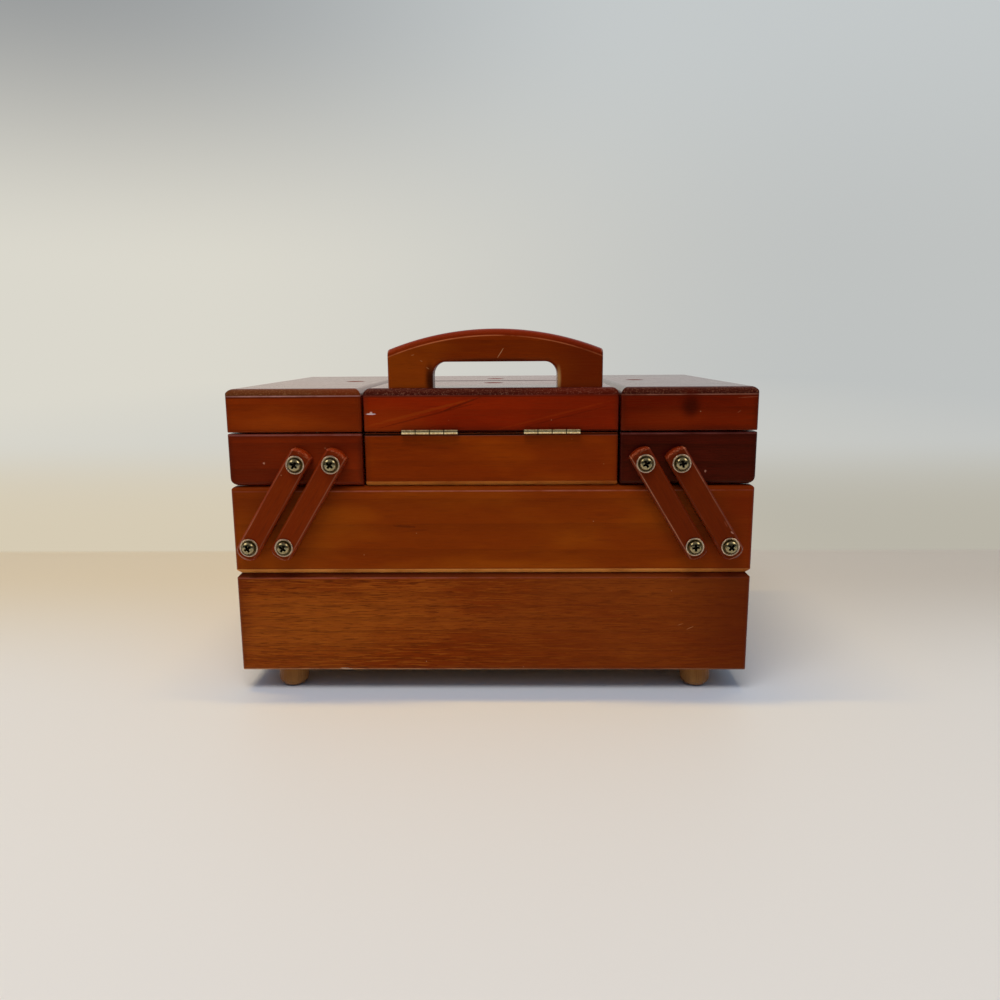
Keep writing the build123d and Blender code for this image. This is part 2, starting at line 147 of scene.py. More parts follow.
# one entry a tier: stain colours, growth rings about their heart, open pores and edges. A band is its
# level in millimetres, up from the lower edge or down from the upper one if negative, its half width,
# its colour, its amount and how it is broken up, and a seam is such a band at a depth. A spot is its
# centre, its half sizes, its turn in degrees, its colour and its amount. A knot is a soft patch, and a
# wash is one of lighter or darker stain that goes right through
tiers = {
    "base": {
        "nodes": [f"base_{side}_board" for side in boards],
        "stain": "#863006", "light": "#ac5616", "dark": "#481604",
        "ringMm": 6.0, "ringAmount": 0.35, "streakAmount": 0.65, "poreAmount": 0.7, "cloudAmount": 0.6,
        "streakEdges": (0.5, 0.4), "poreEdges": (0.53, 0.62),
        "grime": "#531a06", "grimeAmount": 0.4, "rub": "#a85a30", "rubAmount": 0.35,
        "heartMm": (0, 60, -90),
        # of these bands, the pale line at the bottom edge and the pinkish line under the top chamfer are
        # painted highlights, and the dark band along the top edge is painted shade on the chamfer by the
        # groove
        "bands": [(0.8, 0.8, "#cf8f58", 0.85, "worn"), (-2.9, 0.45, "#a0523c", 0.75, "worn"),
                  (14.6, 0.3, "#3f1705", 0.6, "worn"), (-1.2, 1.2, "#3a0f06", 0.7, "even")],
        "washes": [((-125.0, 48.0), (110.0, 42.0), "#a85a16", 0.2),
                   ((90.0, 52.0), (190.0, 200.0), "#78300a", 0.6),
                   ((186.0, 55.0), (74.0, 90.0), "#581604", 0.75),
                   ((-184.0, 60.0), (20.0, 60.0), "#6a2206", 0.5)],
        "spots": [((-104.0, -115.0, 16.6), (5.0, 0.9), 3, "#d6b08c", 0.9),
                  ((138.0, -115.0, 47.0), (3.2, 0.25), -25, "#c07a48", 0.6),
                  ((131.0, -115.0, 49.5), (2.2, 0.25), -18, "#c07a48", 0.6)],
    },
    "middle": {
        "nodes": [f"middle_{side}_board" for side in boards],
        "stain": "#873204", "light": "#9b4406", "dark": "#4c1603",
        "ringMm": 14.0, "ringAmount": 0.2, "poreAmount": 0.12, "cloudAmount": 0.9,
        "grime": "#641c04", "grimeAmount": 0.35, "rub": "#a85a34", "rubAmount": 0.35,
        "heartMm": (0, -40, 20),
        # of these bands, the pale line where the top rounding starts is partly wear and partly painted
        # highlight, the two orange bands are painted light bounced up from the floor onto the lower
        # chamfer, and the dark line at the lower edge is painted shadow in the groove above the base
        "bands": [(-3.5, 0.45, "#b06048", 0.8, "worn"), (1.9, 1.9, "#bc7030", 0.9, "even"),
                  (1.9, 1.6, "#ea9a4c", 0.85, "worn"), (4.0, 0.35, "#6a2406", 0.6, "even"),
                  (0.0, 0.35, "#2a0c04", 0.8, "even")],
        "washes": [((176.0, 122.0), (60.0, 70.0), "#701a04", 0.7),
                   ((-168.0, 142.0), (60.0, 30.0), "#6c1c04", 0.55)],
        "spots": [((-61.0, -115.0, 120.0), (9.0, 0.9), 3, "#4a1605", 0.5)],
    },
    "centre": {
        "nodes": [f"centre_{side}_board" for side in boards],
        "stain": "#852c03", "light": "#a04004", "dark": "#4c1403",
        "ringMm": 9.0, "ringAmount": 0.15, "poreAmount": 0.15, "cloudAmount": 0.9,
        "grime": "#581704", "grimeAmount": 0.35, "rub": "#a85a34", "rubAmount": 0.35,
        "heartMm": (0, -30, 60),
        # of these bands, the pale line along the top edge is a painted highlight, the near black band at
        # the top edge is painted shadow in the gap under the lids, and the two orange bands are painted
        # light bounced up from the floor onto the lower chamfer
        "bands": [(-1.5, 0.4, "#9c5a48", 0.6, "worn"), (-0.9, 0.7, "#140402", 1.0, "even"),
                  (1.6, 1.7, "#a85c24", 0.9, "even"), (1.6, 1.4, "#cc7c34", 0.8, "worn")],
        "washes": [((70.0, 162.0), (50.0, 40.0), "#7a2405", 0.35)],
    },
    "left_tray": {
        "nodes": [f"left_tray_{side}_board" for side in boards],
        "stain": "#741e05", "light": "#882a07", "dark": "#3a0c04",
        "ringMm": 7.0, "ringAmount": 0.3, "poreAmount": 0.2, "cloudAmount": 0.8,
        "grime": "#400f06", "grimeAmount": 0.45, "rub": "#8c4a38", "rubAmount": 0.35,
        "heartMm": (0, 50, 100),
        # the pale line along the rounded top edge is a painted highlight, broken up here and there
        "bands": [(-1.0, 0.4, "#96584a", 0.7, "worn")],
        "washes": [((-168.0, 158.0), (40.0, 30.0), "#4c1206", 0.4)],
        "spots": [((-154.0, -115.0, 164.0), (0.7, 0.7), 0, "#c98a66", 0.8)],
    },
    "right_tray": {
        "nodes": [f"right_tray_{side}_board" for side in boards],
        "stain": "#420c06", "light": "#581309", "dark": "#200503",
        "ringMm": 5.0, "ringAmount": 0.45, "poreAmount": 0.45, "cloudAmount": 0.7,
        "grime": "#280705", "grimeAmount": 0.4, "rub": "#6a3028", "rubAmount": 0.35,
        "heartMm": (0, 60, 90),
        # the pale line along the rounded top edge is a painted highlight, broken up here and there
        "bands": [(-1.0, 0.4, "#7a4036", 0.7, "worn")],
        "washes": [((172.0, 165.0), (50.0, 40.0), "#2c0804", 0.4)],
        "spots": [((144.0, -115.0, 157.5), (0.7, 0.9), 0, "#b87c60", 0.8)],
    },
    "left_lid": {
        "nodes": ["left_lid_rails", "left_lid_top"],
        "stain": "#882c04", "light": "#9c3c08", "dark": "#501602",
        "ringMm": 8.0, "ringAmount": 0.2, "poreAmount": 0.18, "cloudAmount": 0.8,
        "grime": "#5c1b05", "grimeAmount": 0.3, "rub": "#a85a34", "rubAmount": 0.3,
        "heartMm": (0, 40, 120),
        # the pale line where the front rounding starts is partly wear and partly painted highlight
        "bands": [(-2.2, 2.6, "#5e3014", 0.9, "even"), (-2.2, 2.6, "#966840", 0.45, "crumbs"),
                  (-4.9, 0.4, "#c48a78", 0.85, "worn"), (-5.9, 0.5, "#4a1208", 0.5, "even")],
        "washes": [((-92.0, 198.0), (44.0, 34.0), "#6e1e04", 0.45)],
    },
    "right_lid": {
        "nodes": ["right_lid_rails", "right_lid_top"],
        "stain": "#661402", "light": "#7e2003", "dark": "#3a0a02",
        "ringMm": 7.0, "ringAmount": 0.25, "poreAmount": 0.18, "cloudAmount": 0.9,
        "grime": "#3a0f05", "grimeAmount": 0.4, "rub": "#a05a40", "rubAmount": 0.35,
        "heartMm": (0, 40, 120),
        # the pale line where the front rounding starts is partly wear and partly painted highlight
        "bands": [(-2.2, 2.6, "#38110a", 0.9, "even"), (-2.2, 2.6, "#8a5a40", 0.5, "crumbs"),
                  (-5.0, 0.35, "#a86a50", 0.7, "worn")],
        "washes": [((118.0, 192.0), (40.0, 12.0), "#8c2c06", 0.35)],
        "knots": [((132.6, -116.0, 203.5), (10.0, 10.0, 14.0), "#4c0c02", 0.8),
                  ((132.9, -116.0, 200.8), (7.5, 9.0, 8.5), "#3a0802", 0.75)],
        # the first spot, a thin pale line at the right end, is a painted highlight
        "spots": [((171.0, -115.0, 206.9), (8.0, 0.25), -3, "#a05838", 0.5),
                  ((165.0, -115.0, 197.4), (1.6, 0.3), -40, "#a05838", 0.5)],
    },
    "centre_lid": {
        "nodes": ["front_lid_rails", "front_lid_top", "rear_lid_rails", "rear_lid_top"],
        "stain": "#811b03", "light": "#9b2704", "dark": "#480d02",
        "ringMm": 9.0, "ringAmount": 0.2, "poreAmount": 0.15, "cloudAmount": 0.7,
        "grime": "#421005", "grimeAmount": 0.35, "rub": "#a05a40", "rubAmount": 0.3,
        "seam": (0.0, 4.8, "#240a05", 0.95, "even"),  # painted shade along the edges where the two lids meet, down into the gap
        "heartMm": (0, 60, 60),
        # of these bands, the pale line where the front rounding starts is partly wear and partly painted
        # highlight, and the near black band along the lower edge is painted shadow in the gap above the
        # box
        "bands": [(-2.2, 2.6, "#38110a", 0.9, "even"), (-2.2, 2.6, "#946048", 0.5, "crumbs"),
                  (-5.0, 0.3, "#7a3a2c", 0.5, "worn"), (0.6, 0.5, "#240803", 0.85, "even")],
        "washes": [((-70.0, 190.0), (40.0, 18.0), "#a43c08", 0.4),
                   ((60.0, 200.0), (60.0, 26.0), "#701804", 0.4)],
        "spots": [((-80.4, -115.0, 196.9), (3.4, 0.55), 0, "#e8cabc", 0.95),
                  ((-80.0, -115.0, 197.8), (0.9, 0.6), 0, "#d8b09c", 0.85),
                  ((-48.0, -115.0, 197.5), (42.0, 1.1), -14, "#a3400c", 0.4),
                  ((-44.0, -115.0, 195.2), (40.0, 0.6), -14, "#540f03", 0.45),
                  ((-20.0, -115.0, 203.0), (16.0, 0.7), -20, "#4a1004", 0.6),
                  ((42.0, -115.0, 195.5), (44.0, 0.7), -14, "#9c3408", 0.3),
                  ((46.0, -115.0, 193.6), (40.0, 0.5), -14, "#5a0f03", 0.4)],
    },
}


# blends a colour over a surface's colour so far, where mask is near 1
def overlay(surface, mask, amount, hexColour):
    tree = surface["tree"]
    share = addNode(tree, "Math", {"operation": "MULTIPLY"}, {0: mask, 1: amount})
    mix = addNode(tree, "Mix", inColour,
                  {0: share.outputs[0], 6: surface["colour"], 7: linear(hexColour)})
    surface["colour"] = mix.outputs[2]


# stained pine under brushed satin varnish: deep red-brown that shows its grain and mirrors
# pale surroundings at a low angle. The grain runs along X of the turned space
def startPine(name, look, turnDeg, heartMm):
    look = {**pineFinish, **look}
    material, tree, shader = newMaterial(name, {
        "IOR": look["ior"], "Specular Tint": linear(look["specularTint"])})
    place = addNode(tree, "TexCoord").outputs["Object"]
    placeMm = addNode(tree, "VectorMath", {"operation": "SCALE"}, {0: place, "Scale": 1 / mm}).outputs[0]
    grain = addNode(tree, "Mapping", {"vector_type": "TEXTURE"}, {
        "Vector": placeMm, "Location": heartMm,
        "Rotation": [math.radians(angle) for angle in turnDeg]}).outputs[0]
    noise = {}
    for label in ("fibre", "pore", "cloud"):
        length, width = look[label + "Mm"]
        space = addNode(tree, "VectorMath", {"operation": "DIVIDE"}, {0: grain, 1: (length, width, width)})
        noise[label] = addNode(tree, "TexNoise", None, {
            "Vector": space.outputs[0], "Scale": 1.0, "Detail": 3.0, "Roughness": 0.57}).outputs["Fac"]

    stretched = addNode(tree, "VectorMath", {"operation": "MULTIPLY"},
                        {0: grain, 1: (look["ringStretch"], 1, 1)})
    waveScale = math.pi / 10 / look["ringMm"]  # a wave at scale 1 comes back every pi / 10
    rings = addNode(tree, "TexWave", {
        "wave_type": "RINGS", "rings_direction": "X", "wave_profile": "SAW"}, {
        "Vector": stretched.outputs[0], "Scale": waveScale, "Distortion": look["ringWobble"],
        "Detail": 2.0, "Detail Scale": look["ringDetail"] * look["ringMm"], "Detail Roughness": 0.5})
    base = addNode(tree, "RGB")
    base.outputs[0].default_value = linear(look["stain"])
    wood = {"material": material, "tree": tree, "shader": shader, "place": placeMm, "grain": grain,
            "fibre": noise["fibre"], "colour": base.outputs[0], "even": 1.0, "reach": 1.0}
    layers = (
        ("cloud", noise["cloud"], "light"),
        ("ring", rings.outputs["Fac"], "dark"),
        ("streak", noise["fibre"], "light"),
        ("shade", noise["fibre"], "dark"),
        ("pore", noise["pore"], "dark"),
    )
    for layer, value, tone in layers:
        low, high = look[layer + "Edges"]
        mask = addNode(tree, "MapRange", smooth,
                       {"Value": value, "From Min": low, "From Max": high}).outputs[0]
        overlay(wood, mask, look[layer + "Amount"], look[tone])
        wood[layer] = mask
    for kind in ("worn", "crumbs"):
        patches = addNode(tree, "TexNoise", None, {
            "Vector": placeMm, "Scale": 1 / look[kind + "Mm"], "Detail": 4.0, "Roughness": 0.6})
        low, high = look[kind + "Edges"]
        wood[kind] = addNode(tree, "MapRange", None, {
            "Value": patches.outputs["Fac"], "From Min": low, "From Max": high}).outputs[0]
    return wood


# a band where a distance in millimetres is near a level, even, broken here and there or in crumbs. Bands
# draw wear and dirt, and also painted highlights, painted light and painted shade
def addBand(wood, field, level, halfWidth, hexColour, amount, kind):
    tree, blur = wood["tree"], pineFinish["bandBlurMm"]
    offset = addNode(tree, "Math", {"operation": "SUBTRACT"}, {0: field, 1: level})
    size = addNode(tree, "Math", {"operation": "ABSOLUTE"}, {0: offset.outputs[0]})
    band = addNode(tree, "MapRange", smooth, {
        "Value": size.outputs[0], "From Min": halfWidth + blur, "From Max": max(halfWidth - blur, 0)})
    broken = addNode(tree, "Math", {"operation": "MULTIPLY"}, {0: band.outputs[0], 1: wood[kind]})
    kept = addNode(tree, "Math", {"operation": "MULTIPLY"}, {0: broken.outputs[0], 1: wood["reach"]})
    overlay(wood, kept.outputs[0], amount, hexColour)


# an oval mark with a ragged edge: a streak, a chip or a scratch
def addSpot(wood, atMm, sizeMm, turnDeg, hexColour, amount):
    tree = wood["tree"]
    outer, inner = pineFinish["spotEdges"]
    near = addNode(tree, "Mapping", {"vector_type": "TEXTURE"}, {
        "Vector": wood["place"], "Location": atMm, "Rotation": (0, math.radians(turnDeg), 0),
        "Scale": (sizeMm[0], pineFinish["spotDepthMm"], sizeMm[1])})
    wobble = addNode(tree, "TexNoise", None, {
        "Vector": wood["place"], "Scale": pineFinish["spotNoisePerMm"], "Detail": 2.0})
    reach = addNode(tree, "VectorMath", {"operation": "LENGTH"}, {0: near.outputs[0]})
    edge = addNode(tree, "Math", {"operation": "ADD"},
                   {0: reach.outputs["Value"], 1: wobble.outputs["Fac"]})
    mask = addNode(tree, "MapRange", smooth,
                   {"Value": edge.outputs[0], "From Min": outer, "From Max": inner})
    overlay(wood, mask.outputs[0], amount, hexColour)


# a soft patch round a place
def addPatch(wood, atMm, sizeMm, hexColour, amount):
    tree = wood["tree"]
    outer, inner = pineFinish["patchEdges"]
    near = addNode(tree, "Mapping", {"vector_type": "TEXTURE"}, {
        "Vector": wood["place"], "Location": atMm, "Scale": sizeMm})
    reach = addNode(tree, "VectorMath", {"operation": "LENGTH"}, {0: near.outputs[0]})
    mask = addNode(tree, "MapRange", smooth,
                   {"Value": reach.outputs["Value"], "From Min": outer, "From Max": inner})
    overlay(wood, mask.outputs[0], amount, hexColour)


# lighter or darker colour from the front of a box through to its back: uneven stain, and on the handle
# also painted shade and painted light
def addWash(wood, atMm, sizeMm, hexColour, amount):
    through = pineFinish["washThroughMm"]
    addPatch(wood, (atMm[0], 0, atMm[1]), (sizeMm[0], through, sizeMm[1]), hexColour, amount)


# darker towards the edges of a box, and rubbed thin right on them
def wearEdges(wood, look, corners):
    tree = wood["tree"]
    fromLow = addNode(tree, "VectorMath", {"operation": "SUBTRACT"}, {0: wood["place"], 1: corners[0]})
    fromHigh = addNode(tree, "VectorMath", {"operation": "SUBTRACT"}, {0: corners[1], 1: wood["place"]})
    nearest = addNode(tree, "VectorMath", {"operation": "MINIMUM"},
                      {0: fromLow.outputs[0], 1: fromHigh.outputs[0]})
    parts = addNode(tree, "SeparateXYZ", None, {0: nearest.outputs[0]}).outputs
    leastXy = addNode(tree, "Math", {"operation": "MINIMUM"}, {0: parts[0], 1: parts[1]})
    mostXy = addNode(tree, "Math", {"operation": "MAXIMUM"}, {0: parts[0], 1: parts[1]})
    inner = addNode(tree, "Math", {"operation": "MAXIMUM"}, {0: leastXy.outputs[0], 1: parts[2]})
    edge = addNode(tree, "Math", {"operation": "MINIMUM"}, {0: mostXy.outputs[0], 1: inner.outputs[0]})
    start, full = pineFinish["grimeMm"]
    grime = addNode(tree, "MapRange", smooth,
                    {"Value": edge.outputs[0], "From Min": start, "From Max": full})
    overlay(wood, grime.outputs[0], look["grimeAmount"], look["grime"])
    addBand(wood, edge.outputs[0], 0, pineFinish["rubMm"], look["rub"], look["rubAmount"], "worn")
    start, full = pineFinish["bandReachMm"]
    wood["reach"] = addNode(tree, "MapRange", smooth, {
        "Value": leastXy.outputs[0], "From Min": start, "From Max": full}).outputs[0]


# specks, gloss and relief, and the colour as it has become
def finishPine(wood, roughness=pineFinish["roughness"]):
    tree, shader, finish = wood["tree"], wood["shader"], pineFinish
    spacing, radius = finish["fleckMm"]
    cells = addNode(tree, "TexVoronoi", None, {"Vector": wood["place"], "Scale": 1 / spacing})
    fleck = addNode(tree, "MapRange", None, {
        "Value": cells.outputs["Distance"],
        "From Min": radius / spacing, "From Max": 0.5 * radius / spacing})
    overlay(wood, fleck.outputs[0], finish["fleckAmount"], finish["fleck"])
    tree.links.new(wood["colour"], shader.inputs["Base Color"])
    rough = addNode(tree, "MapRange", None, {
        "Value": wood["fibre"], "From Min": noiseRange[0], "From Max": noiseRange[1],
        "To Min": roughness[0], "To Max": roughness[1]})
    tree.links.new(rough.outputs[0], shader.inputs["Roughness"])
    relief = addNode(tree, "Math", {"operation": "SUBTRACT"}, {0: wood["fibre"], 1: wood["pore"]})
    bump = addNode(tree, "Bump", None, {
        "Height": relief.outputs[0], "Strength": finish["bumpStrength"],
        "Distance": finish["bumpMm"] * mm})
    tree.links.new(bump.outputs[0], shader.inputs["Normal"])
    return wood["material"]


# the grain of a tier's end boards runs from front to back, that of the rest from side to side
def stainTier(tierName, look):
    corners = cornersOf(look["nodes"])
    ends = [name for name in look["nodes"] if name.endswith(("_left_board", "_right_board"))]
    tops = [name for name in look["nodes"] if name.endswith("_top")]
    others = [name for name in look["nodes"] if name not in ends + tops]
    for label, names, turn in (("", others, 0), ("_ends", ends, 90), ("_tops", tops, 0)):
        if names:
            wood = startPine(f"varnishedPine_{tierName}{label}", look, (0, 0, turn), look["heartMm"])
            if names is tops:
                overlay(wood, 1.0, pineFinish["topShadeAmount"], pineFinish["topShade"])
            parts = addNode(wood["tree"], "SeparateXYZ", None, {0: wood["place"]}).outputs
            if "seam" in look:
                addBand(wood, parts[1], *look["seam"])
            wearEdges(wood, look, corners)
            for level, *band in look["bands"]:
                addBand(wood, parts[2], corners[level < 0][2] + level, *band)
            for wash in look["washes"]:
                addWash(wood, *wash)
            for knot in look.get("knots", []):
                addPatch(wood, *knot)
            for spot in look.get("spots", []):
                addSpot(wood, *spot)
            paint(names, finishPine(wood, pineFinish["topRoughness" if names is tops else "roughness"]))


for tierName, look in tiers.items():
    stainTier(tierName, look)
print("boxes and lids stained")


# marks are spots, and darker says how much darker each side is than the stain
armLook = {
    "stain": "#8a2a06", "light": "#a03c08", "dark": "#420e04",
    "ringMm": 4.0, "ringAmount": 0.35, "poreAmount": 0.25, "cloudAmount": 0.7,
    "halfWidthMm": 7.5,
    "bevelMm": 1.2,
    "crownMm": 9.0,  # upper pivot to the worn upper end
    "footMm": 8.0,  # lower pivot to the worn lower end
    "rub": "#bc7c58",
    "longLineMm": 0.3,
    "footLineMm": 0.35,
    "crownLineMm": 1.4,
    # how strong the pale lines along the long edges are, the one that faces the middle of the box first;
    # they are partly wear and partly painted highlight
    "edgeLineAmounts": {"left_outer": (0.25, 0.35), "left_inner": (0.4, 0.1),
                   "right_outer": (0.05, 0.45), "right_inner": (0.8, 0.05)},
    "endAmount": 0.5,
    "marks": {"right_outer": [((150.4, -124.0, 141.6), (0.5, 2.2), 15, "#e0a88c", 0.85),
                              ((161.6, -124.0, 117.0), (1.4, 0.5), 40, "#d89878", 0.6),
                              ((157.0, -124.0, 123.0), (0.35, 2.4), -31, "#a85a3c", 0.35)]},
    "darker": {"left": 0.05, "right": 0.42},
}

joints = {joint["name"]: joint for joint in frame["record"]["behaviour"]["joints"]}


# centres of the four pivots of one side, in millimetres at rest: (outer lower, outer upper, ...)
def pivotsOf(side):
    lower = Vector(joints[f"{side}_outer_swing"]["pos_m"]) / mm
    upper = Vector(joints[f"{side}_tray_level"]["pos_m"]) / mm
    innerLower = Vector(joints[f"{side}_inner_swing"]["pos_m"]) / mm
    return {"outer": (lower, upper), "inner": (innerLower, upper + innerLower - lower)}


# the grain, the worn edges and the worn ends follow the lean of the arms
def stainArms(side, pair, lower, upper):
    look = armLook
    run = upper - lower
    lean = -math.degrees(math.atan2(run.z, run.x))
    wood = startPine(f"varnishedPine_{side}_{pair}_arms", look, (0, lean, 0), lower)
    tree = wood["tree"]
    parts = addNode(tree, "SeparateXYZ", None, {0: wood["grain"]}).outputs
    edge = (look["halfWidthMm"] - look["bevelMm"]) * sides[side]
    overlay(wood, look["darker"][side], 1.0, look["dark"])
    toMiddle, toEnd = look["edgeLineAmounts"][f"{side}_{pair}"]
    # pale lines along the long edges: partly wear, partly painted highlight
    addBand(wood, parts[2], edge, look["longLineMm"], look["rub"], toMiddle, "worn")
    addBand(wood, parts[2], -edge, look["longLineMm"], look["rub"], toEnd, "worn")
    depth = addNode(tree, "SeparateXYZ", None, {0: wood["place"]}).outputs[1]
    outward = addNode(tree, "Math", {"operation": "ABSOLUTE"}, {0: depth})
    face = abs(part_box(f"{side}_{pair}_front_arm")[0][1]) / mm
    wood["reach"] = addNode(tree, "MapRange", None, {
        "Value": outward.outputs[0], "From Min": face - 2 * look["bevelMm"],
        "From Max": face - look["bevelMm"]}).outputs[0]
    crown, foot = run.length + look["crownMm"], -look["footMm"]
    addBand(wood, parts[0], crown, look["crownLineMm"], look["rub"], look["endAmount"], "crumbs")
    addBand(wood, parts[0], foot, look["footLineMm"], look["rub"], look["endAmount"], "worn")
    for mark in look["marks"].get(f"{side}_{pair}", []):
        addSpot(wood, *mark)
    paint([f"{side}_{pair}_front_arm", f"{side}_{pair}_rear_arm"], finishPine(wood))


for side in sides:
    for pair, (lower, upper) in pivotsOf(side).items():
        stainArms(side, pair, lower, upper)
print("arms stained")


# the arch is rounded at its crown, and a worn line runs where the rounding starts
handleLook = {
    "stain": "#802b04", "light": "#963f07", "dark": "#461303",
    "ringMm": 12.0, "ringAmount": 0.25, "poreAmount": 0.15, "cloudAmount": 0.8,
    "heartInMm": 60,  # the growth rings are centred this far behind it
    "heartDownMm": 30,  # and this far under its foot
    "crownRoundMm": 4.5,
    "endRiseMm": 25.0,
    "lineMm": 0.35,
    "line": "#c4683a", "lineAmount": 0.9, "crown": "#721b04", "crownAmount": 0.7,
    # the second and third washes are painted shade inside the left leg and along the top of the opening,
    # and the fourth is painted light on the inside of the right leg
    "washes": [((66.0, 222.0), (40.0, 50.0), "#5c1604", 0.6),
               ((-40.5, 219.0), (4.6, 15.0), "#2c0c03", 0.9),
               ((3.0, 231.5), (44.0, 2.6), "#401004", 0.8),
               ((45.2, 219.5), (2.4, 11.0), "#c08848", 0.9)],
    "spots": [((6.7, -110.0, 236.6), (4.4, 0.3), -57, "#c98a58", 0.7),
              ((-51.9, -110.0, 235.5), (1.1, 0.3), -15, "#b87848", 0.6),
              ((-46.0, -110.0, 231.6), (1.0, 0.3), 20, "#b87848", 0.6),
              ((-41.9, -110.0, 226.8), (1.2, 0.3), 35, "#b87848", 0.6)],
}


def stainHandle():
    look = handleLook
    low, high = cornersOf(["handle"])
    middleX = (low[0] + high[0]) / 2
    halfWidth = (high[0] - low[0]) / 2
    archRise = high[2] - low[2] - look["endRiseMm"]
    archRadius = (halfWidth**2 + archRise**2) / (2 * archRise)
    heartMm = (middleX, look["heartInMm"], low[2] - look["heartDownMm"])
    wood = startPine("varnishedPine_handle", look, (0, 0, 0), heartMm)
    tree = wood["tree"]
    fromCentre = addNode(tree, "VectorMath", {"operation": "SUBTRACT"}, {
        0: wood["place"], 1: (middleX, 0, high[2] - archRadius)})
    flat = addNode(tree, "VectorMath", {"operation": "MULTIPLY"}, {0: fromCentre.outputs[0], 1: (1, 0, 1)})
    reach = addNode(tree, "VectorMath", {"operation": "LENGTH"}, {0: flat.outputs[0]})
    depth = addNode(tree, "Math", {"operation": "SUBTRACT"}, {0: archRadius, 1: reach.outputs["Value"]})
    crown = look["crownRoundMm"]
    addBand(wood, depth.outputs[0], crown / 2, crown / 2, look["crown"], look["crownAmount"], "even")
    addBand(wood, depth.outputs[0], crown, look["lineMm"], look["line"], look["lineAmount"], "worn")
    for wash in look["washes"]:
        addWash(wood, *wash)
    for spot in look["spots"]:
        addSpot(wood, *spot)
    paint(["handle"], finishPine(wood))


stainHandle()

# turned pine, barely sealed: a dull tan that has picked up dirt
footLook = {
    "stain": "#96602e", "light": "#a8743e", "dark": "#5c3a1c",
    "ringMm": 11.0, "ringAmount": 0.15, "poreAmount": 0.25, "cloudAmount": 0.8,
    "heartMm": (0, 30, 0),
}
paint(["feet"], finishPine(startPine("turnedPine_feet", footLook, (0, 90, 0), footLook["heartMm"])))

# birch plywood, sanded and sealed: pale and even
plyLook = {
    "stain": "#b08a5a", "light": "#bd9868", "dark": "#8c6638",
    "ringMm": 18.0, "ringAmount": 0.3, "poreAmount": 0.2, "cloudAmount": 0.6,
    "heartMm": (0, 40, -60),
}
paint(["base_panel", "centre_panel", "left_tray_panel", "right_tray_panel"],
      finishPine(startPine("sealedBirchPlywood", plyLook, (0, 0, 0), plyLook["heartMm"])))
print("handle, feet and bottoms done")


# steel, brass-plated in a barrel: pale gold with a soft shine, brighter where it is rubbed and brown
# where it has dulled
plates = {
    "worn": {"colour": "#f4dec4", "shadow": "#bc9e82", "roughness": (0.36, 0.5), "grainMm": 0.9},
    "head": {"colour": "#bcb08a", "shadow": "#766a48", "roughness": (0.18, 0.32), "grainMm": 0.7},
    "dull": {"colour": "#80744e", "shadow": "#50462c", "roughness": (0.32, 0.46), "grainMm": 0.7},
    # near black, for the faces of the screw crosses: painted shade in the recesses
    "dark": {"colour": "#2a2316", "shadow": "#16110a", "roughness": (0.45, 0.6), "grainMm": 0.6},
}

# folded brass strip, lacquered: bright yellow gold with dark joints between the knuckles
hingeLook = {
    "colour": "#fff0c4", "shadow": "#b89a5c", "roughness": (0.08, 0.18), "grainMm": 1.1,
    "lengthMm": 38.0,
    "knuckles": 4,
    "joint": "#2b2010",
    "jointAmount": 0.9,
    "jointMm": 0.3,
    "jointBlur": 1.4,  # of that, to the end of its blurred edge
    "screwInMm": 5.6,  # from the pin to a screw
    "screwApartMm": 22.0,
    "headMm": 2.2,
    "headEaseMm": 0.1,
    "headRiseMm": 0.07,
    "headSteps": 32,
    "recessMm": (2.6, 0.7),
    "recessDepth": 0.8,  # of the rise of the head
    "leafGapMm": 0.1,  # between a leaf's face and the pin, for leaves that lie level with it
    "seed": 11,
}


# metal whose colour and roughness change a little from spot to spot
def metalFrom(name, look):
    material, tree, shader = newMaterial(name, {"Metallic": 1.0})
    place = addNode(tree, "TexCoord").outputs["Object"]
    spots = addNode(tree, "TexNoise", None, {
        "Vector": place, "Scale": 1 / (look["grainMm"] * mm), "Detail": 3.0})
    share = addNode(tree, "MapRange", None, {
        "Value": spots.outputs["Fac"], "From Min": noiseRange[0], "From Max": noiseRange[1]})
    mix = addNode(tree, "Mix", inColour,
                  {0: share.outputs[0], 6: linear(look["colour"]), 7: linear(look["shadow"])})
    tree.links.new(mix.outputs[2], shader.inputs["Base Color"])
    rough = addNode(tree, "MapRange", None, {
        "Value": share.outputs[0], "To Min": look["roughness"][0], "To Max": look["roughness"][1]})
    tree.links.new(rough.outputs[0], shader.inputs["Roughness"])
    return {"material": material, "tree": tree, "shader": shader, "place": place, "colour": mix.outputs[2]}


metals = {name: metalFrom(f"brassPlatedSteel_{name}", look)["material"] for name, look in plates.items()}


# brass for the hinges whose middles stand halfSpacing either side of the centre, along an axis
def hingeBrass(name, axis, halfSpacing):
    look = hingeLook
    metal = metalFrom(name, look)
    tree = metal["tree"]
    along = addNode(tree, "SeparateXYZ", None, {0: metal["place"]}).outputs[axis]
    outward = addNode(tree, "Math", {"operation": "ABSOLUTE"}, {0: along})
    fromMiddle = addNode(tree, "Math", {"operation": "SUBTRACT"}, {0: outward.outputs[0], 1: halfSpacing})
    pitch = look["lengthMm"] / look["knuckles"] * mm
    toJoint = addNode(tree, "Math", {"operation": "PINGPONG"}, {0: fromMiddle.outputs[0], 1: pitch / 2})
    joint = addNode(tree, "MapRange", None, {
        "Value": toJoint.outputs[0], "From Min": look["jointBlur"] * look["jointMm"] * mm,
        "From Max": look["jointMm"] * mm})
    overlay(metal, joint.outputs[0], look["jointAmount"], look["joint"])
    tree.links.new(metal["colour"], metal["shader"].inputs["Base Color"])
    return metal["material"]


